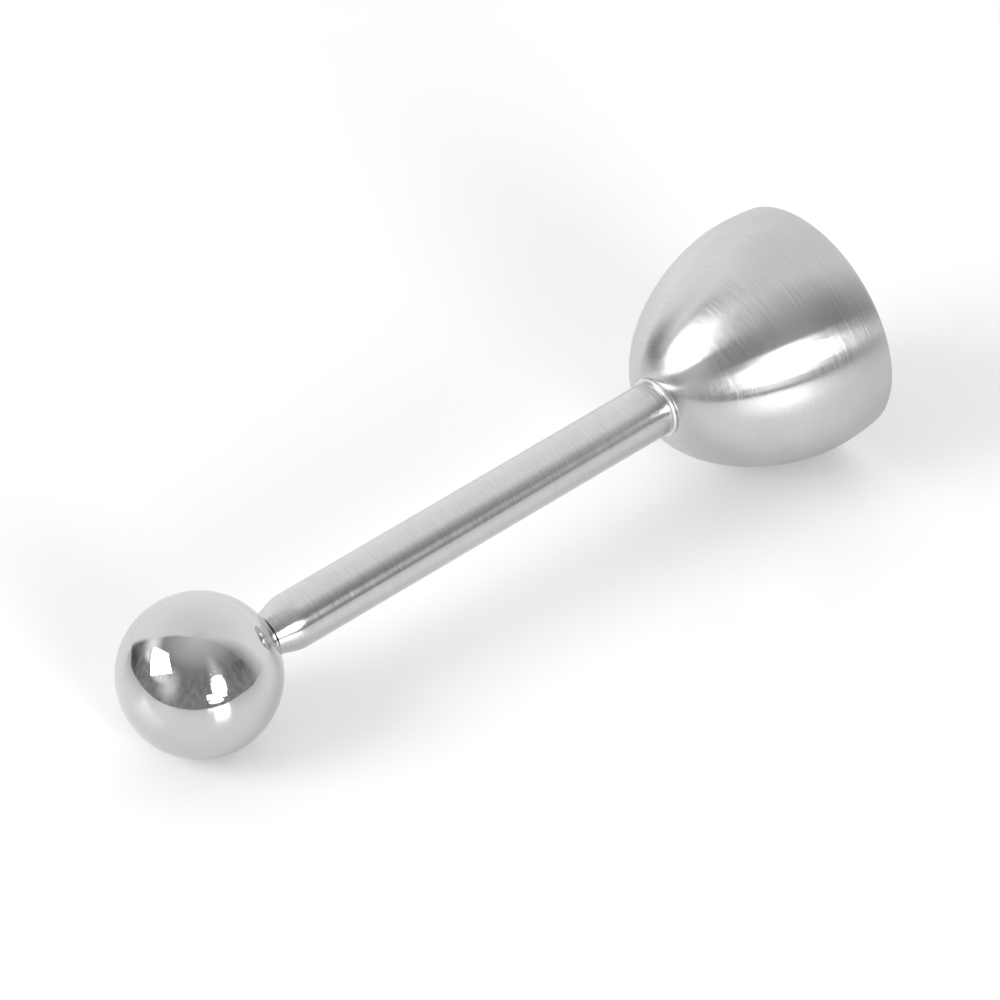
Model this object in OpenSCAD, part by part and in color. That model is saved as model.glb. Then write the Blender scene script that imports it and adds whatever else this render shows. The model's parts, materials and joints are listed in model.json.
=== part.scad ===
// Spring-loaded egg topper, lying on its ball and on the rim of its cup.
// Pull the ball and let it go: the spring throws the striker onto the anvil, and the knock
// travels into the sharp rim of the cup, which cracks a clean ring round the egg's shell.
// The outlines below are drawn along the tool's own axis, from the rim's plane up to the ball.

/* [Cup] */
// Largest outside diameter of the cup
cup_d = 44.4; // [40:0.2:52]
// Height of the cup from its rim to the crown
cup_h = 35.3; // [32:0.1:42]
// Height of the almost straight band above the rim
band_h = 6.3; // [4:0.1:9]
// How much narrower the rim is than the cup, on the diameter
rim_draw_in = 0.9; // [0:0.1:1.6]
// Wall of the drawn cup
cup_wall = 0.9; // [0.7:0.05:1.2]
// Flat land left at the cutting rim
rim_land = 0.4; // [0.3:0.05:0.5]
// Fullness of the dome at its crown, 2 is an ellipse
dome_crown_power = 1.8; // [1.6:0.05:2.2]
// Fullness of the dome at its shoulder, 2 is an ellipse
dome_side_power = 1.53; // [1.4:0.01:2]

/* [Handle] */
// Outside diameter of the handle tube
tube_d = 10; // [9.4:0.1:10.6]
// Wall of the handle tube
tube_wall = 0.8; // [0.6:0.05:0.9]
// Length of the handle tube
tube_len = 85.8; // [80:0.1:110]
// Outside diameter of the tube's mouth after swaging
neck_d = 7.3; // [7:0.1:8.2]
// Half angle of the swaged taper, in degrees
neck_angle = 17; // [14:1:24]
// Radius of the knee between the tube and its taper
knee_r = 8; // [4:0.5:10]
// Thickness of the ring between the tube and the cup
ring_t = 0.8; // [0.4:0.05:1]
// How far the ring stands proud of the tube
ring_proud = 0.5; // [0.2:0.05:0.7]

/* [Anvil] */
// Length of the anvil plug inside the tube
plug_len = 8; // [6:0.5:12]
// Diameter of the spigot that passes through the crown
spigot_d = 4; // [3:0.1:4.4]
// Width of the cap nut across its flats
nut_af = 7; // [6.5:0.1:8]
// Height of the cap nut's hexagon
nut_hex_h = 2.2; // [2:0.1:3]
// Height of the cap nut's dome
nut_dome_h = 2.2; // [1.8:0.1:2.6]

/* [Plunger] */
// Diameter of the mirror-polished ball
ball_d = 28; // [26:0.5:32]
// Wall of the hollow ball
ball_wall = 1; // [0.8:0.1:1.4]
// Gap between the ball and the tube's mouth at rest
ball_gap = 0.1; // [0.1:0.05:1]
// Diameter of the plunger rod
rod_d = 4; // [3.6:0.1:4.2]
// Length of the striker
striker_len = 20; // [14:0.5:24]
// Diameter of the pin through the striker
pin_d = 1.5; // [1.2:0.1:2]
// Diameter of the threaded boss inside the ball
boss_d = 7; // [6.5:0.1:8]
// Length of the threaded boss inside the ball
boss_len = 10; // [8:0.5:12]
// How deep the rod goes into the boss
rod_grip = 8; // [6:0.5:9]

/* [Spring] */
// Diameter of the spring wire
wire_d = 0.7; // [0.5:0.05:0.8]
// Number of turns of the spring
spring_turns = 18; // [12:1:20]
// Clear gap between neighbouring turns at the two closed ends
end_turn_gap = 0.45; // [0.42:0.01:0.6]
// Thickness of the washer between the spring and the bush
washer_t = 0.5; // [0.4:0.1:0.8]
// Length of the bush below the taper
bush_len = 6; // [5:0.5:9]
// How far the bush's nose stays back from the tube's mouth
bush_recess = 0.5; // [0.3:0.1:1]

/* [Clearances] */
// Radial gap of pieces that are pressed, screwed or brazed together
seat_gap = 0.02; // [0.01:0.01:0.04]
// Radial gap of pieces that slide
slide_gap = 0.07; // [0.05:0.01:0.1]
// Gap between the striker and the anvil at rest
strike_gap = 0.1; // [0.05:0.05:0.2]
// Play of the spring at each end
spring_play = 0.05; // [0.02:0.01:0.1]
// Room round the spring, whose turns swell when it is pressed
spring_room = 0.5; // [0.3:0.05:0.6]

/* [Hidden] */
$fn = 96;
eps = 0.01;

// Radii of the driving diameters
cup_r = cup_d / 2;
tube_r = tube_d / 2;
bore_r = tube_r - tube_wall;
neck_r = neck_d / 2;
neck_bore_r = neck_r - tube_wall;
ball_r = ball_d / 2;
rod_r = rod_d / 2;
boss_r = boss_d / 2;
spigot_r = spigot_d / 2;
pin_r = pin_d / 2;

// Places along the tool's axis, counted from the rim's plane
crown_z = cup_h;
tube_z = crown_z + ring_t;
mouth_z = tube_z + tube_len;
anvil_z = tube_z + plug_len;
striker_z = anvil_z + strike_gap;
striker_top_z = striker_z + striker_len;
ball_z = mouth_z + ball_gap + ball_r;
boss_z = ball_z - sqrt(pow(ball_r, 2) - pow(boss_r, 2));
rod_top_z = boss_z + rod_grip;
pin_z = striker_top_z - striker_len / 4;

// The swaged neck: a straight taper that leaves the tube in an arc
knee_run = knee_r * tan(neck_angle / 2);
taper_run = (tube_r - neck_r) / tan(neck_angle);
taper_z = mouth_z - taper_run;
knee_z = taper_z - knee_run;
bush_z = knee_z - bush_len;
washer_z = bush_z - washer_t;
spring_z = striker_top_z + spring_play;
spring_len = washer_z - spring_play - spring_z;
spring_r = bore_r - spring_room - wire_d / 2;

// The ring, and the crown's flat land under it
ring_r = tube_r + ring_proud;
dome_h = cup_h - band_h;

// Outline of the cup from its crown to its rim, as [radius, height] points
dome_steps = 26;
band_steps = 4;
function dome_radius(x) =
    ring_r + (cup_r - ring_r)
        * pow(1 - pow(1 - x / dome_h, dome_crown_power), 1 / dome_side_power);
cup_outline = concat(
    [for (i = [0:dome_steps]) let (x = dome_h * pow(i / dome_steps, 2))
        [dome_radius(x), cup_h - x]],
    [for (i = [1:band_steps]) let (f = i / band_steps)
        [cup_r - rim_draw_in / 2 * f * f, band_h * (1 - f)]]
);

// A point of an outline moved inwards by a wall, square to the outline
function inward(pts, i, wall) =
    let (a = pts[max(i - 1, 0)], b = pts[min(i + 1, len(pts) - 1)], d = b - a)
    pts[i] + wall / norm(d) * [d[1], -d[0]];

// The lean of the axis at which the tool lies on its ball and on a ring of the cup's outline
function lean_on(p) =
    acos(ball_r / norm([p[0], ball_z - p[1]])) - atan((ball_z - p[1]) / p[0]);
lean = max([for (p = cup_outline) lean_on(p)]);
axis_lift = ball_r + ball_z * sin(lean);
rim_r = cup_outline[len(cup_outline) - 1][0];
far_left = -ball_z * cos(lean) - ball_r;
far_right = rim_r * sin(lean);

// Lays what is drawn along the tool's axis on the table, ball at -X and cup at +X
module lying() {
    translate([-(far_left + far_right) / 2, 0, axis_lift])
        rotate([0, -(90 + lean), 0])
            children();
}

// A round piece between two heights
module post(z0, z1, r) {
    translate([0, 0, z0]) cylinder(r = r, h = z1 - z0);
}

// A round piece with chamfered ends, as a lathe leaves it
module turned(z0, z1, r, chamfer) {
    rotate_extrude()
        polygon([[0, z0], [r - chamfer, z0], [r, z0 + chamfer],
                 [r, z1 - chamfer], [r - chamfer, z1], [0, z1]]);
}

// Drawn and spun bell cup with a bevelled cutting rim and a hole for the spigot
module cup() {
    n = len(cup_outline);
    bevel_h = (cup_wall - rim_land) / tan(30);
    inner = [for (i = [0:n - 1]) inward(cup_outline, i, cup_wall)];
    color("silver") lying() difference() {
        rotate_extrude()
            polygon(concat(
                [[0, crown_z]], cup_outline,
                [[rim_r - rim_land, 0], [rim_r - cup_wall, bevel_h]],
                [for (i = [n - 1:-1:0]) if (inner[i][1] > bevel_h + eps) inner[i]],
                [[0, crown_z - cup_wall]]
            ));
        post(crown_z - cup_wall - eps, crown_z + eps, spigot_r + seat_gap);
    }
}

// Satin tube with a swaged neck that lets only the rod through its bush
module handle_tube() {
    arc_steps = 6;
    function skin(r_tube, r_neck) = concat(
        [[r_tube, tube_z]],
        [for (i = [0:arc_steps]) let (a = neck_angle * i / arc_steps)
            [r_tube - knee_r * (1 - cos(a)), knee_z + knee_r * sin(a)]],
        [[r_neck, mouth_z]]
    );
    inside = skin(bore_r, neck_bore_r);
    color("lightgray") lying() rotate_extrude()
        polygon(concat(
            skin(tube_r, neck_r),
            [for (i = [len(inside) - 1:-1:0]) inside[i]]
        ));
}

// Half-round polished ring that closes the joint between the tube and the cup
module collar_ring() {
    bead_r = ring_t / 2;
    hole_r = bore_r + seat_gap;
    color("white") lying() rotate_extrude() {
        translate([hole_r, crown_z]) square([ring_r - bead_r - hole_r, ring_t]);
        translate([ring_r - bead_r, crown_z + bead_r]) circle(r = bead_r);
    }
}

// Hardened plug in the tube's foot: the anvil above, a threaded spigot below
module anvil_plug() {
    color("dimgray") lying() {
        turned(crown_z, anvil_z, bore_r - seat_gap, 0.3);
        turned(crown_z - cup_wall - nut_hex_h, crown_z + 2 * eps, spigot_r, 0.3);
    }
}

// Cap nut inside the cup, smooth where it faces the egg
module cap_nut() {
    nut_z = crown_z - cup_wall - nut_hex_h;
    dome_base_r = nut_af / 2 - 0.3;
    dome_sphere_r = (pow(dome_base_r, 2) + pow(nut_dome_h, 2)) / (2 * nut_dome_h);
    color("silver") lying() difference() {
        union() {
            translate([0, 0, nut_z]) rotate(30)
                cylinder(d = nut_af / cos(30), h = nut_hex_h, $fn = 6);
            intersection() {
                post(nut_z - nut_dome_h - eps, nut_z + eps, dome_base_r);
                translate([0, 0, nut_z - nut_dome_h + dome_sphere_r]) sphere(r = dome_sphere_r);
            }
        }
        post(nut_z - seat_gap, crown_z, spigot_r + seat_gap);
    }
}

// Bush in the neck: guides the rod and holds the spring back
module neck_bush() {
    nose_z = mouth_z - bush_recess;
    color("goldenrod") lying() difference() {
        union() {
            turned(bush_z, knee_z, bore_r - seat_gap, 0.3);
            post(knee_z - eps, nose_z, neck_bore_r - seat_gap);
        }
        post(bush_z - eps, nose_z + eps, rod_r + slide_gap);
    }
}

// Washer that the spring bears on
module spring_washer() {
    color("gray") lying() difference() {
        post(washer_z, washer_z + washer_t - seat_gap, bore_r - slide_gap);
        post(washer_z - eps, washer_z + washer_t + eps, rod_r + 2 * slide_gap);
    }
}

// Compression spring, one unbroken wire with a closed turn at each end
module main_spring() {
    sides = 6;
    rings = 10;
    steps = spring_turns * rings;
    end_pitch = wire_d + end_turn_gap;
    rise = spring_len - wire_d;
    pitch = (rise - 2 * end_pitch) / (spring_turns - 2);
    function climb(t) = end_pitch * min(t, 1) + pitch * min(max(t - 1, 0), spring_turns - 2)
        + end_pitch * max(t - spring_turns + 1, 0);
    function centre(i) = let (t = i / rings)
        [spring_r * cos(360 * t), spring_r * sin(360 * t), spring_z + wire_d / 2 + climb(t)];
    function ring_point(i, k) =
        let (a = 360 * i / rings, b = 360 * k / sides,
             out = [cos(a), sin(a), 0])
        centre(i) + wire_d / 2 * (cos(b) * out + sin(b) * [0, 0, 1]);
    points = [for (i = [0:steps], k = [0:sides - 1]) ring_point(i, k)];
    skin = [for (i = [0:steps - 1], k = [0:sides - 1])
        let (a = i * sides + k, b = i * sides + (k + 1) % sides)
        each [[a, b, a + sides], [b, b + sides, a + sides]]];
    first = [for (k = [1:sides - 2]) [0, k + 1, k]];
    tip = steps * sides;
    last = [for (k = [1:sides - 2]) [tip, tip + k, tip + k + 1]];
    echo(spring_pitch = pitch, spring_gap = min(pitch, end_pitch) - wire_d);
    color("slategray") lying()
        polyhedron(points = points, faces = concat(skin, first, last));
}

// Rod that joins the ball to the striker
module plunger_rod() {
    foot_z = striker_z + striker_len / 4;
    color("silver") lying() difference() {
        turned(foot_z, rod_top_z, rod_r, 0.3);
        translate([0, 0, pin_z]) rotate([90, 0, 0])
            cylinder(r = pin_r + seat_gap, h = 2 * tube_d, center = true);
    }
}

// Heavy striker, bored for the rod and cross-drilled for its pin
module striker() {
    socket_z = striker_z + striker_len / 4 - seat_gap;
    color("dimgray") lying() difference() {
        turned(striker_z, striker_top_z, bore_r - slide_gap, 0.5);
        post(socket_z, striker_top_z + eps, rod_r + seat_gap);
        translate([0, 0, pin_z]) rotate([90, 0, 0])
            cylinder(r = pin_r + seat_gap, h = 2 * tube_d, center = true);
    }
}

// Cross pin that locks the striker to the rod
module striker_pin() {
    color("gray") lying() translate([0, 0, pin_z]) rotate([90, 0, 0])
        cylinder(r = pin_r, h = 2 * (bore_r - slide_gap) - 0.8, center = true);
}

// Hollow mirror-polished ball, open only where its boss is brazed in
module ball_shell() {
    color("whitesmoke") lying() translate([0, 0, ball_z]) difference() {
        sphere(r = ball_r);
        sphere(r = ball_r - ball_wall);
        translate([0, 0, -ball_r - eps]) cylinder(r = boss_r + seat_gap, h = ball_r);
    }
}

// Threaded boss in the ball, finished flush with the sphere
module ball_boss() {
    color("silver") lying() difference() {
        intersection() {
            post(ball_z - ball_r, boss_z + boss_len, boss_r);
            translate([0, 0, ball_z]) sphere(r = ball_r);
        }
        post(ball_z - ball_r - eps, rod_top_z + seat_gap, rod_r + seat_gap);
    }
}

cup();
handle_tube();
collar_ring();
anvil_plug();
cap_nut();
neck_bush();
spring_washer();
main_spring();
plunger_rod();
striker();
striker_pin();
ball_shell();
ball_boss();
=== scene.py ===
"""The look of a spring-loaded egg topper, built round its fixed frame."""

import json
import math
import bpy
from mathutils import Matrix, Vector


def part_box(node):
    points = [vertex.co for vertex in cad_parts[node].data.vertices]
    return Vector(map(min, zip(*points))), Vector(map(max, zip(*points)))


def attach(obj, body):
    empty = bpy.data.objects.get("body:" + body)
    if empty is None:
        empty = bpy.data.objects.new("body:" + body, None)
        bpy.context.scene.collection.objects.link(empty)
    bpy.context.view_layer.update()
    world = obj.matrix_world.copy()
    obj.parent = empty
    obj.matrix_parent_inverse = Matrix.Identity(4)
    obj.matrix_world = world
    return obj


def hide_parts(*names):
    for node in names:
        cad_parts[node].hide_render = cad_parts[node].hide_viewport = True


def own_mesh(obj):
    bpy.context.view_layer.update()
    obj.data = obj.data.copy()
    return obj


bl_info = {
    "name": "Egg Topper",
    "version": (1, 0, 0),
    "blender": (4, 5, 0),
    "location": "View3D > Sidebar > Egg Topper",
    "description": "Mirror ball, satin handle and spun cup of an egg topper, with its studio",
    "category": "Object",
}

import bmesh
import bpy
from bpy.props import FloatProperty, FloatVectorProperty, IntProperty, PointerProperty
from bpy.types import Operator, Panel, PropertyGroup
from mathutils import Matrix, Vector

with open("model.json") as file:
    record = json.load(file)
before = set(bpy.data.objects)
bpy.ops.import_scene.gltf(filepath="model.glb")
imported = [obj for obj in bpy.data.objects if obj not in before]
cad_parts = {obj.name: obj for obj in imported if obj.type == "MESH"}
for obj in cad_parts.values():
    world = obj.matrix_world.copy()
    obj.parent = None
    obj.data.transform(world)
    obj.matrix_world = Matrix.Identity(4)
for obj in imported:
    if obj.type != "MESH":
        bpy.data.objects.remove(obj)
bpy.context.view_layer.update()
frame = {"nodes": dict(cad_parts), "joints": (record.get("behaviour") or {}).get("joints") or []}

MM = 0.001
SEAT_GAP = 0.02 * MM        # radial gap of pressed and screwed joints, as in the CAD
END_TURN_GAP = 0.45 * MM    # clear gap between the turns at the spring's closed ends
HALF_FLAT = math.radians(30)    # half the angle that one flat of a hexagon spans
RIM_BEVEL = math.radians(30)    # slope of the bevel inside the cutting rim


# ---------------------------------------------------------------- the tool's own axis

def find_tool_frame():
    """Matrix whose Z runs from the ball's centre to the cup, and whose X points up."""
    low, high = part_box("ball_shell")
    radius = (high.z - low.z) / 2
    centre = Vector((low.x + radius, (low.y + high.y) / 2, low.z + radius))
    to_cup = -Vector(frame["joints"][0]["axis"]).normalized()
    side = Vector((0, -1, 0))
    turn = Matrix((side.cross(to_cup), side, to_cup)).transposed()
    return Matrix.Translation(centre) @ turn.to_4x4()


TOOL = find_tool_frame()


class Span:
    """How far a CAD node reaches along the axis and away from it."""

    def __init__(self, node):
        inverse = TOOL.inverted()
        points = [inverse @ v.co for v in frame["nodes"][node].data.vertices]
        radii = [math.hypot(p.x, p.y) for p in points]
        self.near = min(p.z for p in points)
        self.far = max(p.z for p in points)
        self.bore = min(radii)
        self.radius = max(radii)


span = {node: Span(node) for node in frame["nodes"]}


# ---------------------------------------------------------------- colours

def linear(hex_colour):
    """Turns an sRGB hex value into the linear red, green and blue that Blender wants."""
    values = [int(hex_colour[i:i + 2], 16) / 255 for i in (0, 2, 4)]
    return tuple(v / 12.92 if v <= 0.04045 else ((v + 0.055) / 1.055) ** 2.4 for v in values)


def rgba(hex_colour):
    return (*linear(hex_colour), 1.0)


# ---------------------------------------------------------------- what a user would change

class TopperSizes(PropertyGroup):
    """Sizes of the visible pieces."""

    cup_wall: FloatProperty(
        name="Cup Wall", description="Thickness of the spun cup",
        default=0.9 * MM, unit="LENGTH")
    band_height: FloatProperty(
        name="Band Height", description="Height of the almost straight band above the rim",
        default=6.3 * MM, unit="LENGTH")
    rim_draw_in: FloatProperty(
        name="Rim Draw-In", description="How much the rim's radius is below the cup's",
        default=0.45 * MM, unit="LENGTH")
    rim_land: FloatProperty(
        name="Rim Land", description="Flat left on the cutting rim",
        default=0.4 * MM, unit="LENGTH")
    dome_crown_power: FloatProperty(
        name="Crown Power", description="Fullness of the dome at its crown, 2 is an ellipse",
        default=1.8, min=1.5, max=2.5)
    dome_side_power: FloatProperty(
        name="Side Power", description="Fullness of the dome at its shoulder, 2 is an ellipse",
        default=1.53, min=1.2, max=2.5)
    tube_wall: FloatProperty(
        name="Tube Wall", description="Wall of the handle tube",
        default=0.8 * MM, unit="LENGTH")
    neck_radius: FloatProperty(
        name="Neck Radius", description="Outside radius of the tube's swaged mouth",
        default=3.65 * MM, unit="LENGTH")
    neck_angle: FloatProperty(
        name="Neck Angle", description="Half angle of the swaged taper",
        default=math.radians(17), subtype="ANGLE")
    knee_radius: FloatProperty(
        name="Knee Radius", description="Radius of the bend between the tube and its taper",
        default=8 * MM, unit="LENGTH")
    ball_wall: FloatProperty(
        name="Ball Wall", description="Wall of the hollow ball",
        default=1 * MM, unit="LENGTH")
    nut_hex_height: FloatProperty(
        name="Nut Height", description="Height of the cap nut's hexagon",
        default=2.2 * MM, unit="LENGTH")
    spring_turns: IntProperty(
        name="Spring Turns", description="Turns of the main spring, ends included",
        default=18, min=4, max=40)
    round_steps: IntProperty(
        name="Round Steps", description="Flat steps in a full turn of a spun piece",
        default=192, min=48, max=384)


class TopperFinish(PropertyGroup):
    """Colours and finishes of the metals."""

    stainless: FloatVectorProperty(
        name="Polished Steel", description="Reflected colour of the ball and the ring",
        subtype="COLOR", default=linear("D2D2D2"), min=0, max=1)
    satin: FloatVectorProperty(
        name="Satin Steel", description="Reflected colour of the cup and the tube",
        subtype="COLOR", default=linear("D7D7D7"), min=0, max=1)
    bright: FloatVectorProperty(
        name="Bright Ring", description="Reflected colour of the buffed collar ring",
        subtype="COLOR", default=linear("F1F1F1"), min=0, max=1)
    turned: FloatVectorProperty(
        name="Turned Steel", description="Reflected colour of the rod, striker and nut",
        subtype="COLOR", default=linear("BDBCBA"), min=0, max=1)
    wire: FloatVectorProperty(
        name="Spring Wire", description="Reflected colour of the drawn spring wire",
        subtype="COLOR", default=linear("8F8E8C"), min=0, max=1)
    brass: FloatVectorProperty(
        name="Brass", description="Reflected colour of the neck bush",
        subtype="COLOR", default=linear("D9B46A"), min=0, max=1)
    paper: FloatVectorProperty(
        name="Paper", description="Colour of the glossy sheet under the tool",
        subtype="COLOR", default=linear("F4F4F4"), min=0, max=1)


class TopperStudio(PropertyGroup):
    """Camera and light, as bearings seen from the ball and turned with the camera."""

    camera_azimuth: FloatProperty(
        name="Camera Azimuth", description="Bearing of the camera round the tool",
        default=math.radians(-40.156), subtype="ANGLE")
    camera_elevation: FloatProperty(
        name="Camera Elevation", description="Height of the camera as an angle",
        default=math.radians(38.206), subtype="ANGLE")
    camera_distance: FloatProperty(
        name="Camera Distance", description="Distance of the camera from its aim",
        default=946.6 * MM, unit="LENGTH")
    aim_right: FloatProperty(
        name="Aim Right", description="Aim of the camera, right of the frame's origin",
        default=2.49 * MM, unit="LENGTH")
    aim_up: FloatProperty(
        name="Aim Up", description="Aim of the camera, above the frame's origin in the picture",
        default=15.31 * MM, unit="LENGTH")
    focal_length: FloatProperty(
        name="Focal Length", description="Focal length of the lens in millimetres",
        default=198.0, min=20, max=400)
    backdrop_bearing: FloatProperty(
        name="Backdrop Bearing", description="Bearing of the backdrop's middle",
        default=math.radians(14), subtype="ANGLE")
    light_level: FloatProperty(
        name="Light Level", description="Brightness of the two soft boxes, where 1 is white",
        default=6.4, min=0, max=20)


# ---------------------------------------------------------------- modelling with bmesh

def arc(place, radius, size, start, stop, steps):
    """Points of an arc in the (place, radius) half plane, angles counted from the axis."""
    return [
        (place + size * math.cos(start + (stop - start) * i / steps),
         radius + size * math.sin(start + (stop - start) * i / steps))
        for i in range(steps + 1)
    ]


def spin_outline(bm, outline, steps, closed):
    """Spins (place, radius) points round Z. A closed outline ends where it began."""
    verts = [bm.verts.new((radius, 0, place)) for place, radius in outline]
    pairs = list(zip(verts, verts[1:]))
    if closed:
        pairs.append((verts[-1], verts[0]))
    edges = [bm.edges.new(pair) for pair in pairs]
    bmesh.ops.spin(
        bm, geom=verts + edges, cent=(0, 0, 0), axis=(0, 0, 1), dvec=(0, 0, 0),
        angle=math.tau, steps=steps, use_merge=True, use_duplicate=False)
    bmesh.ops.remove_doubles(bm, verts=bm.verts, dist=0.0005 * MM)
    bmesh.ops.recalc_face_normals(bm, faces=bm.faces)


def round_sharp_edges(bm, size, segments=3, sharpest=math.radians(28)):
    """Bevels every edge that turns more than the given angle."""
    sharp = [
        e for e in bm.edges
        if len(e.link_faces) == 2 and e.calc_face_angle(0.0) > sharpest
    ]
    if sharp:
        bmesh.ops.bevel(
            bm, geom=sharp, offset=size, offset_type="OFFSET", segments=segments,
            profile=0.5, affect="EDGES", clamp_overlap=True, material=-1)


def finish_piece(bm, name, body, material, nodes):
    """Turns a bmesh in tool coordinates into a piece that rides on a body."""
    bmesh.ops.transform(bm, matrix=TOOL, verts=bm.verts)
    mesh = bpy.data.meshes.new(name)
    bm.to_mesh(mesh)
    bm.free()
    mesh.shade_smooth()
    mesh.materials.append(material)
    piece = bpy.data.objects.new(name, mesh)
    bpy.context.scene.collection.objects.link(piece)
    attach(piece, body)
    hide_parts(*nodes)
    return piece


def spun_piece(name, outline, body, material, nodes, edge, closed=True):
    """A lathe-turned or spun piece whose sharp edges are broken to the given size."""
    bm = bmesh.new()
    spin_outline(bm, outline, bpy.context.scene.topper_sizes.round_steps, closed)
    round_sharp_edges(bm, edge)
    return finish_piece(bm, name, body, material, nodes)


def wall_inside(outline, wall):
    """An outline moved inwards by a wall, square to the outline at each point."""
    inside = []
    for i, point in enumerate(outline):
        a = outline[max(i - 1, 0)]
        b = outline[min(i + 1, len(outline) - 1)]
        along = Vector(b) - Vector(a)
        inside.append(Vector(point) + wall * Vector((along.y, -along.x)).normalized())
    return [(p.x, p.y) for p in inside]


# ---------------------------------------------------------------- materials

# what Blender's noise mostly stays between, and the same for the lines of the grit
NOISE_RANGE = {"From Min": 0.3, "From Max": 0.7}
LINES_RANGE = {"From Min": 0.3, "From Max": 0.75}

# real sizes of the patterns in the finishes
STRAY_SPACING = 0.45 * MM   # between the stray scratches on ground steel
CLOUD_SIZE = 6 * MM         # patches where the grit cut a little more or less
RIPPLE_SIZE = 3.5 * MM      # waves that the buffing wheel leaves
SPECK_SIZE = 0.4 * MM       # nicks and hair scratches on polished steel
MOTTLE_SIZE = 0.5 * MM      # patches of oil and scale on drawn wire


def add(tree, kind, inputs=None, **settings):
    """Adds a node, makes its settings, and fills or links its inputs. A node that is given
    as an input is linked by its first output."""
    node = tree.nodes.new(kind)
    for key, value in settings.items():
        setattr(node, key, value)
    for socket, value in (inputs or {}).items():
        if isinstance(value, bpy.types.Node):
            value = value.outputs[0]
        if isinstance(value, bpy.types.NodeSocket):
            tree.links.new(value, node.inputs[socket])
        else:
            node.inputs[socket].default_value = value
    return node


def new_material(name):
    material = bpy.data.materials.new(name)
    material.use_nodes = True
    material.node_tree.nodes.clear()
    return material


def lathe_coordinates(tree):
    """A point's place on the tool, with its spoke direction and its outline length, which
    is its distance along the axis plus its distance from it."""
    inverse = TOOL.inverted()
    place = add(tree, "ShaderNodeTexCoord")
    point = add(tree, "ShaderNodeMapping", {
        "Vector": place.outputs["Object"],
        "Location": inverse.to_translation(),
        "Rotation": inverse.to_euler()})
    parts = add(tree, "ShaderNodeSeparateXYZ", {"Vector": point})
    flat = add(tree, "ShaderNodeCombineXYZ", {"X": parts.outputs["X"], "Y": parts.outputs["Y"]})
    radius = add(tree, "ShaderNodeVectorMath", {0: flat}, operation="LENGTH")
    spoke = add(tree, "ShaderNodeVectorMath", {0: flat}, operation="NORMALIZE")
    length = add(tree, "ShaderNodeMath", {
        0: radius.outputs["Value"], 1: parts.outputs["Z"]}, operation="ADD")
    return {"point": point, "spoke": spoke, "length": length}


def turning_lines(tree, lathe, spacing, stretch, detail=2.0):
    """Noise drawn out round the axis: lines a spacing apart, each a share of a turn long."""
    round_part = add(tree, "ShaderNodeVectorMath", {
        0: lathe["spoke"], "Scale": stretch}, operation="SCALE")
    rise = add(tree, "ShaderNodeMath", {0: lathe["length"], 1: 1 / spacing}, operation="MULTIPLY")
    lift = add(tree, "ShaderNodeCombineXYZ", {"Z": rise})
    where = add(tree, "ShaderNodeVectorMath", {0: round_part, 1: lift}, operation="ADD")
    return add(tree, "ShaderNodeTexNoise", {
        "Vector": where, "Scale": 1.0, "Detail": detail, "Roughness": 0.6})


def grinding_direction(tree, lathe, slant=0.0):
    """The way that a ground surface's highlight spreads, square to the grinding lines: along
    the tool, and from the front up turned off by the slant, where it was held by hand."""
    parts = add(tree, "ShaderNodeSeparateXYZ", {"Vector": lathe["spoke"]})
    up, side = parts.outputs["X"], parts.outputs["Y"]
    slope = add(tree, "ShaderNodeMapRange", {
        "Value": up, "From Min": 0.1, "From Max": 0.45, "To Min": 0.0, "To Max": math.tan(slant)})
    back = add(tree, "ShaderNodeMath", {0: slope, 1: side}, operation="MULTIPLY")
    local = add(tree, "ShaderNodeCombineXYZ", {
        "X": add(tree, "ShaderNodeMath", {0: 0.0, 1: back}, operation="SUBTRACT"),
        "Y": add(tree, "ShaderNodeMath", {0: slope, 1: up}, operation="MULTIPLY"),
        "Z": 1.0})
    return add(tree, "ShaderNodeMapping", {
        "Vector": local, "Rotation": TOOL.to_euler()}, vector_type="VECTOR")


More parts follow.
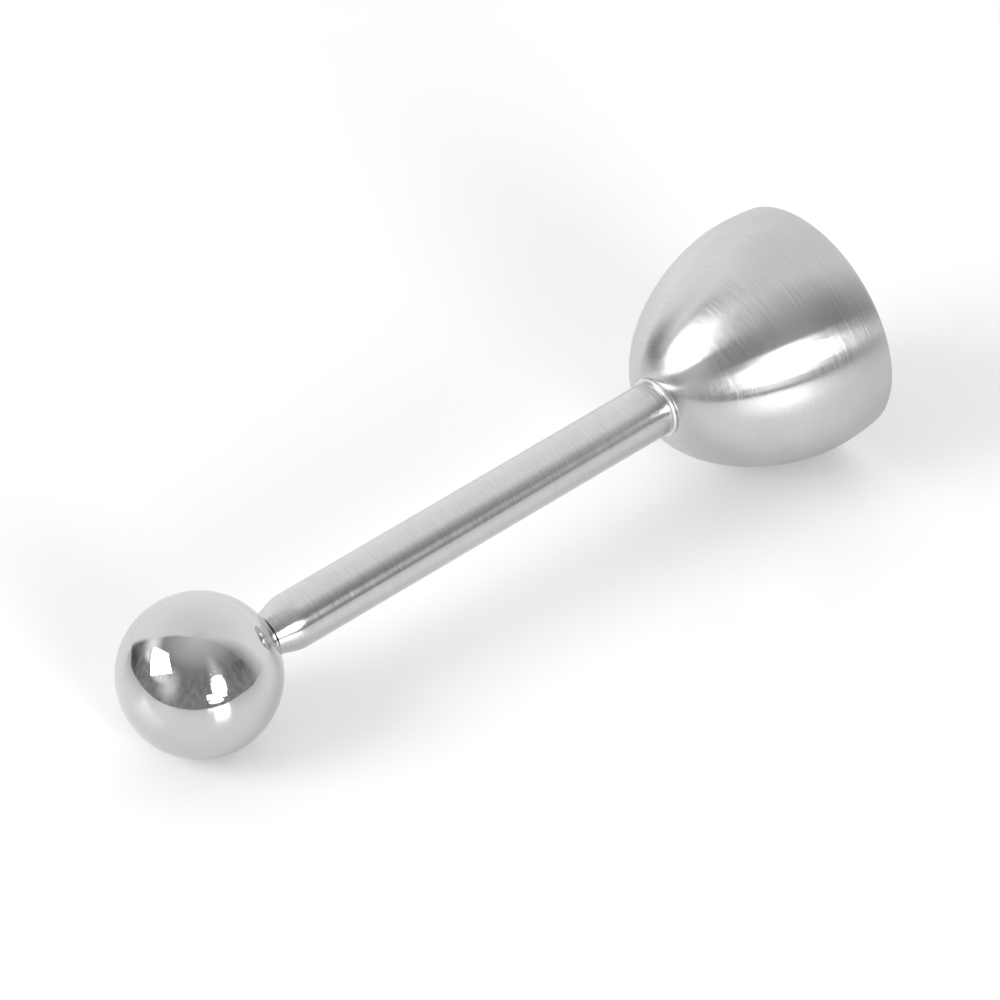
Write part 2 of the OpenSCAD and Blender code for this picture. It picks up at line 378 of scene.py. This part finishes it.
def satin_stainless(name, smoothest, roughest, spacing, stretch, depth, slant=0.0):
    """Stainless steel, satin ground on a lathe: highlights stay crisp round the axis and
    smear along it, more so in the deeper grinding lines. The lines show as fine streaks, a
    few stray scratches catch the light, and the cup is darker and rougher towards its rim.
    Real grit lines are about 0.03 mm apart; these are wider, so that they show."""
    finish = bpy.context.scene.topper_finish
    material = new_material(name)
    tree = material.node_tree
    lathe = lathe_coordinates(tree)
    lines = turning_lines(tree, lathe, spacing, stretch)
    grain = add(tree, "ShaderNodeBump", {"Height": lines, "Strength": 1.0, "Distance": depth})
    strays = turning_lines(tree, lathe, STRAY_SPACING, stretch / 2, detail=1.0)
    scratches = add(tree, "ShaderNodeMapRange", {
        "Value": strays, "From Min": 0.68, "From Max": 0.76, "To Min": 0.0, "To Max": 1.0})
    bump = add(tree, "ShaderNodeBump", {
        "Height": scratches, "Strength": 1.0, "Distance": 0.008 * MM, "Normal": grain})

    clouds = add(tree, "ShaderNodeTexNoise", {
        "Vector": lathe["point"], "Scale": 1 / CLOUD_SIZE, "Detail": 4.0})
    tone = add(tree, "ShaderNodeMapRange", {
        "Value": clouds, **NOISE_RANGE, "To Min": 0.97, "To Max": 1.03})
    streak = add(tree, "ShaderNodeMapRange", {
        "Value": lines, **LINES_RANGE, "To Min": 0.93, "To Max": 1.05})
    # the tube's outline length stays below this, so only the cup's rim is darker and rougher
    darker_rougher_rim = add(tree, "ShaderNodeMapRange", {
        "Value": lathe["length"], "From Min": 0.138, "From Max": 0.154,
        "To Min": 1.0, "To Max": 0.87})
    streaky = add(tree, "ShaderNodeMath", {0: tone, 1: streak}, operation="MULTIPLY")
    shade = add(tree, "ShaderNodeMath", {0: streaky, 1: darker_rougher_rim}, operation="MULTIPLY")
    colour = add(tree, "ShaderNodeVectorMath", {
        0: finish.satin, "Scale": shade}, operation="SCALE")
    rough = add(tree, "ShaderNodeMapRange", {
        "Value": lines, **LINES_RANGE, "To Min": smoothest, "To Max": roughest})
    spread = add(tree, "ShaderNodeMath", {0: rough, 1: darker_rougher_rim}, operation="DIVIDE")
    shader = add(tree, "ShaderNodeBsdfPrincipled", {
        "Base Color": colour, "Metallic": 1.0, "Anisotropic": 1.0, "Roughness": spread,
        "Normal": bump, "Tangent": grinding_direction(tree, lathe, slant)})
    add(tree, "ShaderNodeOutputMaterial", {"Surface": shader})
    return material


def polished_stainless(name, colour, smoothest, roughest):
    """Stainless steel, buffed on a wheel: reflections over a faint ripple, with a few
    hair scratches and specks that catch the light."""
    material = new_material(name)
    tree = material.node_tree
    point = lathe_coordinates(tree)["point"]
    ripple = add(tree, "ShaderNodeTexNoise", {
        "Vector": point, "Scale": 1 / RIPPLE_SIZE, "Detail": 1.0})
    haze = add(tree, "ShaderNodeMapRange", {
        "Value": ripple, **NOISE_RANGE, "To Min": smoothest, "To Max": roughest})
    wave = add(tree, "ShaderNodeBump", {
        "Height": ripple, "Strength": 1.0, "Distance": 0.02 * MM})
    specks = add(tree, "ShaderNodeTexNoise", {
        "Vector": point, "Scale": 1 / SPECK_SIZE, "Detail": 1.0, "Distortion": 0.6})
    marks = add(tree, "ShaderNodeMapRange", {
        "Value": specks, "From Min": 0.74, "From Max": 0.82, "To Min": 0.0, "To Max": 1.0})
    bump = add(tree, "ShaderNodeBump", {
        "Height": marks, "Strength": 1.0, "Distance": 0.006 * MM, "Normal": wave})
    shader = add(tree, "ShaderNodeBsdfPrincipled", {
        "Base Color": (*colour, 1.0), "Metallic": 1.0, "Roughness": haze, "Normal": bump})
    add(tree, "ShaderNodeOutputMaterial", {"Surface": shader})
    return material


def turned_metal(name, colour, spacing, depth, roughness):
    """Metal as the lathe leaves it: a fine thread of tool marks round the axis."""
    material = new_material(name)
    tree = material.node_tree
    lathe = lathe_coordinates(tree)
    marks = turning_lines(tree, lathe, spacing, stretch=0.6)
    rough = add(tree, "ShaderNodeMapRange", {
        "Value": marks, **NOISE_RANGE, "To Min": roughness * 0.8, "To Max": roughness * 1.2})
    bump = add(tree, "ShaderNodeBump", {"Height": marks, "Strength": 1.0, "Distance": depth})
    shader = add(tree, "ShaderNodeBsdfPrincipled", {
        "Base Color": (*colour, 1.0), "Metallic": 1.0, "Anisotropic": 0.6, "Roughness": rough,
        "Normal": bump, "Tangent": grinding_direction(tree, lathe)})
    add(tree, "ShaderNodeOutputMaterial", {"Surface": shader})
    return material


def drawn_wire(name, colour):
    """Spring steel wire, cold drawn and oiled: dark, with soft mottling."""
    material = new_material(name)
    tree = material.node_tree
    mottle = add(tree, "ShaderNodeTexNoise", {
        "Vector": lathe_coordinates(tree)["point"], "Scale": 1 / MOTTLE_SIZE, "Detail": 3.0})
    rough = add(tree, "ShaderNodeMapRange", {
        "Value": mottle, **NOISE_RANGE, "To Min": 0.25, "To Max": 0.42})
    shader = add(tree, "ShaderNodeBsdfPrincipled", {
        "Base Color": (*colour, 1.0), "Metallic": 1.0, "Roughness": rough})
    add(tree, "ShaderNodeOutputMaterial", {"Surface": shader})
    return material


def metal(key):
    """The named finish, made the first time that a piece asks for it."""
    finish = bpy.context.scene.topper_finish
    makers = {
        "satin stainless cup": lambda name: satin_stainless(
            name, smoothest=0.18, roughest=0.25, spacing=0.22 * MM, stretch=3.0,
            depth=0.012 * MM, slant=math.radians(11)),
        "satin stainless tube": lambda name: satin_stainless(
            name, smoothest=0.145, roughest=0.2, spacing=0.24 * MM, stretch=1.2,
            depth=0.02 * MM),
        "mirror stainless": lambda name: polished_stainless(
            name, finish.stainless, smoothest=0.04, roughest=0.07),
        "buffed stainless": lambda name: polished_stainless(
            name, finish.bright, smoothest=0.25, roughest=0.35),
        "turned steel": lambda name: turned_metal(
            name, finish.turned, spacing=0.12 * MM, depth=0.001 * MM, roughness=0.24),
        "turned brass": lambda name: turned_metal(
            name, finish.brass, spacing=0.12 * MM, depth=0.001 * MM, roughness=0.22),
        "drawn spring wire": lambda name: drawn_wire(name, finish.wire),
    }
    return bpy.data.materials.get(key) or makers[key](key)


# ---------------------------------------------------------------- the pieces

class TOPPER_OT_ball(Operator):
    """Hollow mirror-polished ball and the threaded boss that closes its hole"""

    bl_idname = "topper.ball"
    bl_label = "Mirror Ball"

    def execute(self, context):
        sizes = context.scene.topper_sizes
        radius = span["ball_shell"].radius
        inner = radius - sizes.ball_wall
        boss = span["ball_boss"]
        hole = boss.radius + SEAT_GAP
        shell = (
            arc(0, 0, radius, math.pi, math.asin(hole / radius), steps=110)
            + arc(0, 0, inner, math.asin(hole / inner), math.pi, steps=60)
        )
        spun_piece("polished_ball", shell, "plunger", metal("mirror stainless"),
                   ["ball_shell"], closed=False, edge=0.02 * MM)
        rod = span["plunger_rod"]
        socket = rod.near - SEAT_GAP
        plug = (
            [(boss.near, 0), (boss.near, boss.radius)]
            + arc(0, 0, radius, math.asin(boss.radius / radius),
                  math.asin(boss.bore / radius), steps=8)
            + [(socket, boss.bore), (socket, 0)]
        )
        spun_piece("ball_plug", plug, "plunger", metal("mirror stainless"),
                   ["ball_boss"], closed=False, edge=0.02 * MM)
        return {"FINISHED"}


class TOPPER_OT_rod(Operator):
    """Turned plunger rod, which shows when the ball is pulled out"""

    bl_idname = "topper.rod"
    bl_label = "Plunger Rod"

    def execute(self, context):
        rod = span["plunger_rod"]
        outline = [(rod.near, 0), (rod.near, rod.radius), (rod.far, rod.radius), (rod.far, 0)]
        spun_piece("plunger_shaft", outline, "plunger", metal("turned steel"),
                   ["plunger_rod"], closed=False, edge=0.3 * MM)
        return {"FINISHED"}


class TOPPER_OT_tube(Operator):
    """Satin handle tube with its swaged neck"""

    bl_idname = "topper.tube"
    bl_label = "Handle Tube"

    def execute(self, context):
        sizes = context.scene.topper_sizes
        tube = span["handle_tube"]
        angle, knee = sizes.neck_angle, sizes.knee_radius

        def skin(radius, mouth_radius):
            taper = tube.near + (radius - mouth_radius) / math.tan(angle)
            bend = arc(taper + knee * math.tan(angle / 2), radius - knee, knee,
                       math.pi / 2, math.pi / 2 + angle, steps=14)
            return [(tube.far, radius)] + bend + [(tube.near, mouth_radius)]

        outside = skin(tube.radius, sizes.neck_radius)
        inside = skin(tube.radius - sizes.tube_wall, sizes.neck_radius - sizes.tube_wall)
        spun_piece("satin_tube", outside + inside[::-1], "handle",
                   metal("satin stainless tube"), ["handle_tube"], edge=0.12 * MM)
        return {"FINISHED"}


class TOPPER_OT_ring(Operator):
    """Half-round polished ring between the tube and the cup"""

    bl_idname = "topper.ring"
    bl_label = "Collar Ring"

    def execute(self, context):
        ring = span["collar_ring"]
        bead = (ring.far - ring.near) / 2
        outline = (
            [(ring.near, ring.bore)]
            + arc(ring.near + bead, ring.radius - bead, bead, math.pi, 0, steps=16)
            + [(ring.far, ring.bore)]
        )
        spun_piece("ring_bead", outline, "handle", metal("buffed stainless"),
                   ["collar_ring"], edge=0.03 * MM)
        return {"FINISHED"}


class TOPPER_OT_cup(Operator):
    """Spun bell cup with a bevelled cutting rim"""

    bl_idname = "topper.cup"
    bl_label = "Bell Cup"

    def execute(self, context):
        sizes = context.scene.topper_sizes
        cup = span["cup"]
        land = span["collar_ring"].radius
        dome = cup.far - cup.near - sizes.band_height
        power, side = sizes.dome_crown_power, 1 / sizes.dome_side_power

        outside = []
        dome_steps, band_steps = 64, 8
        for i in range(dome_steps + 1):
            # squared, so that the steps are short at the crown, where it curves most
            depth = (i / dome_steps) ** 2
            swell = (1 - (1 - depth) ** power) ** side
            outside.append((cup.near + dome * depth, land + (cup.radius - land) * swell))
        for i in range(1, band_steps + 1):
            down = i / band_steps
            outside.append((
                cup.near + dome + sizes.band_height * down,
                cup.radius - sizes.rim_draw_in * down * down))
        rim = cup.radius - sizes.rim_draw_in
        bevel = (sizes.cup_wall - sizes.rim_land) / math.tan(RIM_BEVEL)
        inside = [
            p for p in wall_inside(outside, sizes.cup_wall) if p[0] < cup.far - bevel
        ]
        outline = (
            [(cup.near, cup.bore)] + outside
            + [(cup.far, rim - sizes.rim_land), (cup.far - bevel, rim - sizes.cup_wall)]
            + inside[::-1] + [(cup.near + sizes.cup_wall, cup.bore)]
        )
        spun_piece("bell_cup", outline, "handle", metal("satin stainless cup"),
                   ["cup"], edge=0.06 * MM)
        return {"FINISHED"}


class TOPPER_OT_nut(Operator):
    """Cap nut in the crown: bevelled hexagon and smooth dome"""

    bl_idname = "topper.nut"
    bl_label = "Cap Nut"

    def execute(self, context):
        sizes = context.scene.topper_sizes
        nut = span["cap_nut"]
        shoulder = nut.near + sizes.nut_hex_height
        dome_inset = 0.3 * MM
        base = nut.radius * math.cos(HALF_FLAT) - dome_inset
        rise = nut.far - shoulder
        curve = (base ** 2 + rise ** 2) / (2 * rise)
        bm = bmesh.new()
        cap = (
            [(nut.near, 0), (nut.near, base)]
            + arc(nut.far - curve, 0, curve, math.asin(base / curve), 0, steps=24)
        )
        spin_outline(bm, cap, steps=96, closed=False)
        hexagon = bmesh.new()
        bmesh.ops.create_cone(
            hexagon, cap_ends=True, cap_tris=False, segments=6, radius1=nut.radius,
            radius2=nut.radius, depth=sizes.nut_hex_height,
            matrix=Matrix.Translation((0, 0, nut.near + sizes.nut_hex_height / 2)))
        bmesh.ops.bevel(
            hexagon, geom=hexagon.edges[:], offset=0.25 * MM, offset_type="OFFSET",
            segments=3, profile=0.5, affect="EDGES", clamp_overlap=True, material=-1)
        scratch = bpy.data.meshes.new("hexagon")
        hexagon.to_mesh(scratch)
        hexagon.free()
        bm.from_mesh(scratch)
        bpy.data.meshes.remove(scratch)
        finish_piece(bm, "domed_nut", "handle", metal("turned steel"),
                     ["cap_nut"])
        return {"FINISHED"}


class TOPPER_OT_bush(Operator):
    """Turned brass bush in the neck, countersunk where the rod leaves it"""

    bl_idname = "topper.bush"
    bl_label = "Neck Bush"

    def execute(self, context):
        sizes = context.scene.topper_sizes
        bush, tube = span["neck_bush"], span["handle_tube"]
        nose = sizes.neck_radius - sizes.tube_wall - SEAT_GAP
        taper = (tube.radius - sizes.neck_radius) / math.tan(sizes.neck_angle)
        knee = tube.near + taper + sizes.knee_radius * math.tan(sizes.neck_angle / 2)
        countersink = 0.5 * MM
        outline = [
            (bush.near, bush.bore + countersink), (bush.near, nose), (knee, nose),
            (knee, bush.radius), (bush.far, bush.radius), (bush.far, bush.bore),
            (bush.near + countersink, bush.bore),
        ]
        spun_piece("brass_bush", outline, "handle", metal("turned brass"),
                   ["neck_bush"], edge=0.1 * MM)
        return {"FINISHED"}


class TOPPER_OT_spring(Operator):
    """Main spring, one wire with a closed turn at each end"""

    bl_idname = "topper.spring"
    bl_label = "Main Spring"

    def execute(self, context):
        turns = context.scene.topper_sizes.spring_turns
        coil = span["main_spring"]
        wire = (coil.radius - coil.bore) / 2
        middle = (coil.radius + coil.bore) / 2
        end_pitch = 2 * wire + END_TURN_GAP
        rise = coil.far - coil.near - 2 * wire
        pitch = (rise - 2 * end_pitch) / (turns - 2)
        turn_steps = 28
        bm = bmesh.new()
        bmesh.ops.create_circle(
            bm, cap_ends=True, segments=10, radius=wire,
            matrix=Matrix.Translation((middle, 0, coil.near + wire))
            @ Matrix.Rotation(math.pi / 2, 4, "X"))
        tip = bm.faces[:]
        for count, step in ((1, end_pitch), (turns - 2, pitch), (1, end_pitch)):
            made = bmesh.ops.spin(
                bm, geom=tip, cent=(0, 0, 0), axis=(0, 0, 1), dvec=(0, 0, step / turn_steps),
                angle=math.tau * count, steps=turn_steps * count, use_merge=False,
                use_duplicate=False)
            tip = [f for f in made["geom_last"] if isinstance(f, bmesh.types.BMFace)]
        bmesh.ops.recalc_face_normals(bm, faces=bm.faces)
        spring = finish_piece(bm, "wire_spring", "handle",
                              metal("drawn spring wire"), ["main_spring"])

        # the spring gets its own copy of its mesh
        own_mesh(spring)
        return {"FINISHED"}


class TOPPER_OT_hidden(Operator):
    """Finishes of the pieces that stay inside the tube"""

    bl_idname = "topper.hidden"
    bl_label = "Hidden Pieces"

    def execute(self, context):
        for node in ("anvil_plug", "spring_washer", "striker", "striker_pin"):
            mesh = frame["nodes"][node].data
            mesh.materials.clear()
            mesh.materials.append(metal("turned steel"))
        return {"FINISHED"}


# ---------------------------------------------------------------- the studio

LAMP_DISTANCE = 2.0         # metres from the ball to each soft box
FLOOR_HALF_SIZE = 4.0       # metres
# edges of the real sheet in metres from the ball, towards the backdrop and to the right
SHEET_FRONT, SHEET_LEFT, SHEET_RIGHT = -0.134, -0.31, 0.45
SHEET_SPREAD = 4.0          # how far each side runs out per metre behind the ball
SWEEP_START, SWEEP_END = 0.12, 0.5  # metres behind the ball where the backdrop takes over
PAPER_LIFT = 0.1            # glow that only the camera sees on the sheet, to keep it white
ROOM_MIDDLE = 200           # azimuth in degrees that the room's patterns are centred on

# pools of light and shade on the room's walls, in degrees as seen from the ball:
# azimuth, elevation, half width, half height and strength
POOLS = (
    (148, 38, 17, 32, 0.42), (221, 18, 22, 30, 0.6), (234, 24, 14, 12, 0.5),
    (243, 18, 14, 8, 0.6), (284, 33, 28, 18, 0.9), (272, 24, 14, 7, 0.6),
    (288, 2, 28, 17, -0.18), (110, 28, 22, 16, -0.08),
)

# greys from the horizon, at 0, to straight up, at 1
WALL_GREYS = (
    (0.0, "939393"), (0.33, "8B8B8B"), (0.5, "949494"), (0.64, "B4B4B4"),
    (0.8, "C8C8C8"), (1.0, "DCDCDC"),
)
BACKDROP_GREYS = (
    (0.0, "FFFFFF"), (0.3, "FFFFFF"), (0.55, "F6F6F6"), (0.8, "F0F0F0"), (1.0, "DCDCDC"),
)


def heading(azimuth):
    """World angle of an azimuth, which counts clockwise from straight away from the camera."""
    return math.pi / 2 + bpy.context.scene.topper_studio.camera_azimuth - azimuth


def bearing(azimuth, elevation):
    """Direction at an azimuth and an elevation in degrees."""
    turn, level = heading(math.radians(azimuth)), math.radians(elevation)
    return Vector((
        math.cos(turn) * math.cos(level), math.sin(turn) * math.cos(level), math.sin(level)))


def soft_box(name, shape, azimuth, elevation, width, height, level, twist=0.0, tilt=0.0):
    """A soft box seen from the ball at the given bearing and angular size, in degrees. A
    tilt leans its top towards the tool."""
    data = bpy.data.lights.new(name, "AREA")
    data.shape = shape
    data.size = 2 * LAMP_DISTANCE * math.tan(math.radians(width) / 2)
    data.size_y = 2 * LAMP_DISTANCE * math.tan(math.radians(height) / 2)
    area = data.size * data.size_y * (math.pi / 4 if shape == "ELLIPSE" else 1)
    data.energy = level * bpy.context.scene.topper_studio.light_level * math.pi * area
    lamp = bpy.data.objects.new(name, data)
    bpy.context.scene.collection.objects.link(lamp)
    out = bearing(azimuth, elevation)
    turn = out.to_track_quat("Z", "Y").to_matrix().to_4x4()
    place = Matrix.Translation(TOOL.to_translation() + out * LAMP_DISTANCE)
    lean = Matrix.Rotation(math.radians(tilt), 4, "X")
    lamp.matrix_world = place @ turn @ lean @ Matrix.Rotation(math.radians(twist), 4, "Z")
    lamp.visible_camera = False


def wall_shade(tree, height, greys):
    """How bright a wall is at each height, from (height, hex grey) pairs."""
    shade = add(tree, "ShaderNodeValToRGB", {"Fac": height})
    stops = shade.color_ramp.elements
    while len(stops) < len(greys):
        stops.new(0.5)
    for stop, (position, grey) in zip(stops, greys):
        stop.position = position
        stop.color = rgba(grey)
    return shade


def room_angles(tree):
    """Azimuth from the room's middle and elevation of a direction, both in degrees."""
    place = add(tree, "ShaderNodeTexCoord")
    turn = math.pi / 2 - heading(math.radians(ROOM_MIDDLE))
    local = add(tree, "ShaderNodeMapping", {
        "Vector": place.outputs["Generated"], "Rotation": (0, 0, turn)})
    parts = add(tree, "ShaderNodeSeparateXYZ", {"Vector": local})
    azimuth = add(tree, "ShaderNodeMath", {
        0: parts.outputs["X"], 1: parts.outputs["Y"]}, operation="ARCTAN2")
    elevation = add(tree, "ShaderNodeMath", {0: parts.outputs["Z"]}, operation="ARCSINE")
    angles = add(tree, "ShaderNodeCombineXYZ", {"X": azimuth, "Y": elevation})
    return add(tree, "ShaderNodeVectorMath", {
        0: angles, "Scale": math.degrees(1)}, operation="SCALE")


def glow(tree, angles, azimuth, elevation, width, height, strength):
    """A soft oval pool of light or, with a negative strength, of shade on the room's walls."""
    local = add(tree, "ShaderNodeMapping", {
        "Vector": angles, "Location": (azimuth - ROOM_MIDDLE, elevation, 0),
        "Scale": (width, height, 1)}, vector_type="TEXTURE")
    reach = add(tree, "ShaderNodeVectorMath", {0: local}, operation="LENGTH")
    return add(tree, "ShaderNodeMapRange", {
        "Value": reach.outputs["Value"], "From Min": 0.0, "From Max": 1.0,
        "To Min": strength, "To Max": 0.0}, interpolation_type="SMOOTHSTEP")


class TOPPER_OT_studio(Operator):
    """White sheet, pale backdrop, dim room, two soft boxes and the camera"""

    bl_idname = "topper.studio"
    bl_label = "Studio"

    def execute(self, context):
        self.make_camera(context)
        self.make_sheet(context)
        self.make_room(context)
        self.make_lamps()
        context.scene.view_settings.view_transform = "Standard"
        return {"FINISHED"}

    def make_lamps(self):
        """The front soft box is brightest in its middle, so it is made of four lamps."""
        soft_box("left soft box", "RECTANGLE", azimuth=250.5, elevation=37.5,
                 width=33, height=33, level=0.9, twist=45, tilt=48)
        soft_box("front soft box", "RECTANGLE", azimuth=149.2, elevation=19.5,
                 width=18, height=15, level=2.4)
        soft_box("front soft box top", "ELLIPSE", azimuth=149.2, elevation=30.9,
                 width=16, height=7.8, level=0.8)
        soft_box("front soft box skirt", "RECTANGLE", azimuth=154.5, elevation=8.5,
                 width=26, height=7, level=0.6)
        soft_box("front soft box spill", "ELLIPSE", azimuth=156, elevation=1.5,
                 width=20, height=7, level=0.27)

    def make_camera(self, context):
        studio = context.scene.topper_studio
        a, e = studio.camera_azimuth, studio.camera_elevation
        back = Vector((math.sin(a) * math.cos(e), -math.cos(a) * math.cos(e), math.sin(e)))
        right = Vector((math.cos(a), math.sin(a), 0))
        up = back.cross(right)
        data = bpy.data.cameras.new("camera")
        data.lens = studio.focal_length
        data.sensor_width = 36
        data.clip_start = 0.01
        camera = bpy.data.objects.new("camera", data)
        context.scene.collection.objects.link(camera)
        aim = right * studio.aim_right + up * studio.aim_up
        turn = Matrix((right, up, back)).transposed().to_4x4()
        camera.matrix_world = Matrix.Translation(aim + back * studio.camera_distance) @ turn
        context.scene.camera = camera

    def make_sheet(self, context):
        """Floor that the camera sees as white paper all over. The real sheet ends before and
        beside the tool, so the steel sees the dim room past its edge, and it runs up into
        the backdrop behind."""
        bm = bmesh.new()
        bmesh.ops.create_grid(bm, x_segments=8, y_segments=8, size=FLOOR_HALF_SIZE)
        mesh = bpy.data.meshes.new("floor")
        bm.to_mesh(mesh)
        bm.free()
        floor = bpy.data.objects.new("floor", mesh)
        context.scene.collection.objects.link(floor)

        material = new_material("glossy white paper")
        tree = material.node_tree
        path = add(tree, "ShaderNodeLightPath").outputs["Is Camera Ray"]
        white = add(tree, "ShaderNodeMath", {
            0: self.real_sheet(context, tree), 1: path}, operation="MAXIMUM")
        paper = add(tree, "ShaderNodeBsdfPrincipled", {
            "Base Color": (*context.scene.topper_finish.paper, 1.0), "Roughness": 0.22,
            "IOR": 1.25})
        clear = add(tree, "ShaderNodeBsdfTransparent")
        mix = add(tree, "ShaderNodeMixShader", {"Fac": white, 1: clear, 2: paper})
        lift = add(tree, "ShaderNodeMath", {0: path, 1: PAPER_LIFT}, operation="MULTIPLY")
        fill = add(tree, "ShaderNodeEmission", {"Strength": lift})
        both = add(tree, "ShaderNodeAddShader", {0: mix, 1: fill})
        add(tree, "ShaderNodeOutputMaterial", {"Surface": both})
        mesh.materials.append(material)

    def real_sheet(self, context, tree):
        """1 on the real sheet and 0 past its edges, fading where it runs up behind."""
        turn = math.pi / 2 - heading(context.scene.topper_studio.backdrop_bearing)
        centre = Matrix.Rotation(turn, 3, "Z") @ TOOL.to_translation()
        place = add(tree, "ShaderNodeTexCoord")
        local = add(tree, "ShaderNodeMapping", {
            "Vector": place.outputs["Object"], "Location": (-centre.x, -centre.y, 0),
            "Rotation": (0, 0, turn)})
        parts = add(tree, "ShaderNodeSeparateXYZ", {"Vector": local})
        right, away = parts.outputs["X"], parts.outputs["Y"]
        behind = add(tree, "ShaderNodeMath", {0: away, 1: 0.0}, operation="MAXIMUM")
        wider = add(tree, "ShaderNodeMath", {0: behind, 1: SHEET_SPREAD}, operation="MULTIPLY")
        from_left = add(tree, "ShaderNodeMath", {0: right, 1: wider}, operation="ADD")
        from_right = add(tree, "ShaderNodeMath", {0: right, 1: wider}, operation="SUBTRACT")
        sheet = add(tree, "ShaderNodeMapRange", {
            "Value": away, "From Min": SWEEP_START, "From Max": SWEEP_END,
            "To Min": 1.0, "To Max": 0.0}, interpolation_type="SMOOTHSTEP")
        for distance, side, edge in (
                (away, "GREATER_THAN", SHEET_FRONT), (from_left, "GREATER_THAN", SHEET_LEFT),
                (from_right, "LESS_THAN", SHEET_RIGHT)):
            inside = add(tree, "ShaderNodeMath", {0: distance, 1: edge}, operation=side)
            sheet = add(tree, "ShaderNodeMath", {0: sheet, 1: inside}, operation="MULTIPLY")
        return sheet

    def make_room(self, context):
        """White backdrop behind the tool, and a dim room with a paler ceiling before it."""
        world = bpy.data.worlds.new("studio room")
        world.use_nodes = True
        context.scene.world = world
        tree = world.node_tree
        tree.nodes.clear()
        angles = room_angles(tree)
        parts = add(tree, "ShaderNodeSeparateXYZ", {"Vector": angles})
        turn, rise = parts.outputs["X"], parts.outputs["Y"]
        height = add(tree, "ShaderNodeMapRange", {
            "Value": rise, "From Min": 0.0, "From Max": 90.0, "To Min": 0.0, "To Max": 1.0})

        # furniture and doors of the room, as blurred upright blotches that fade out higher up
        blotches = add(tree, "ShaderNodeMapping", {"Vector": angles, "Scale": (0.16, 0.09, 1)})
        clutter = add(tree, "ShaderNodeTexNoise", {
            "Vector": blotches, "Scale": 1.0, "Detail": 4.0})
        swing = add(tree, "ShaderNodeMapRange", {
            "Value": rise, "From Min": 25.0, "From Max": 55.0, "To Min": 1.2, "To Max": 0.0})
        centred = add(tree, "ShaderNodeMath", {0: clutter, 1: 0.5}, operation="SUBTRACT")
        shade = add(tree, "ShaderNodeMath", {
            0: centred, 1: swing, 2: 1.0}, operation="MULTIPLY_ADD")
        room = add(tree, "ShaderNodeMath", {
            0: wall_shade(tree, height, WALL_GREYS), 1: shade}, operation="MULTIPLY")
        for pool in POOLS:
            room = add(tree, "ShaderNodeMath", {
                0: room, 1: glow(tree, angles, *pool)}, operation="ADD")

        # the backdrop leans back on the left and fades into the room on the right
        lean = add(tree, "ShaderNodeMapRange", {
            "Value": rise, "From Min": 0.0, "From Max": 40.0, "To Min": 0.0, "To Max": 15.0})
        from_left = add(tree, "ShaderNodeMath", {0: turn, 1: lean}, operation="ADD")
        left = add(tree, "ShaderNodeMapRange", {
            "Value": from_left, "From Min": 102.0, "From Max": 107.0,
            "To Min": 0.0, "To Max": 1.0})
        right = add(tree, "ShaderNodeMapRange", {
            "Value": turn, "From Min": -100.0, "From Max": -128.0, "To Min": 0.0, "To Max": 1.0})
        behind = add(tree, "ShaderNodeMath", {0: left, 1: right}, operation="MAXIMUM")
        seen = add(tree, "ShaderNodeMix", {
            "Factor": behind, "A": room, "B": wall_shade(tree, height, BACKDROP_GREYS)})
        path = add(tree, "ShaderNodeLightPath")
        lit = add(tree, "ShaderNodeBackground", {"Color": seen})
        plain = add(tree, "ShaderNodeBackground", {"Color": (1, 1, 1, 1)})
        mix = add(tree, "ShaderNodeMixShader", {
            "Fac": path.outputs["Is Camera Ray"], 1: lit, 2: plain})
        add(tree, "ShaderNodeOutputWorld", {"Surface": mix})


OPERATORS = (
    TOPPER_OT_ball, TOPPER_OT_rod, TOPPER_OT_tube, TOPPER_OT_ring, TOPPER_OT_cup,
    TOPPER_OT_nut, TOPPER_OT_bush, TOPPER_OT_spring, TOPPER_OT_hidden, TOPPER_OT_studio,
)


class TOPPER_PT_panel(Panel):
    """Lists the pieces of the egg topper"""

    bl_idname = "TOPPER_PT_panel"
    bl_label = "Egg Topper"
    bl_space_type = "VIEW_3D"
    bl_region_type = "UI"
    bl_category = "Egg Topper"

    def draw(self, context):
        for operator in OPERATORS:
            self.layout.operator(operator.bl_idname)
        for group in ("topper_sizes", "topper_finish", "topper_studio"):
            settings = getattr(context.scene, group)
            box = self.layout.box()
            for name in settings.__annotations__:
                box.prop(settings, name)


GROUPS = {
    "topper_sizes": TopperSizes, "topper_finish": TopperFinish, "topper_studio": TopperStudio,
}
CLASSES = (*GROUPS.values(), *OPERATORS, TOPPER_PT_panel)


def register():
    for cls in CLASSES:
        bpy.utils.register_class(cls)
    for name, group in GROUPS.items():
        setattr(bpy.types.Scene, name, PointerProperty(type=group))


def unregister():
    for name in GROUPS:
        delattr(bpy.types.Scene, name)
    for cls in reversed(CLASSES):
        bpy.utils.unregister_class(cls)


def main():
    """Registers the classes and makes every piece."""
    register()
    for operator in OPERATORS:
        name = operator.bl_idname.split(".")[1]
        getattr(bpy.ops.topper, name)()


if __name__ == "__main__":
    main()
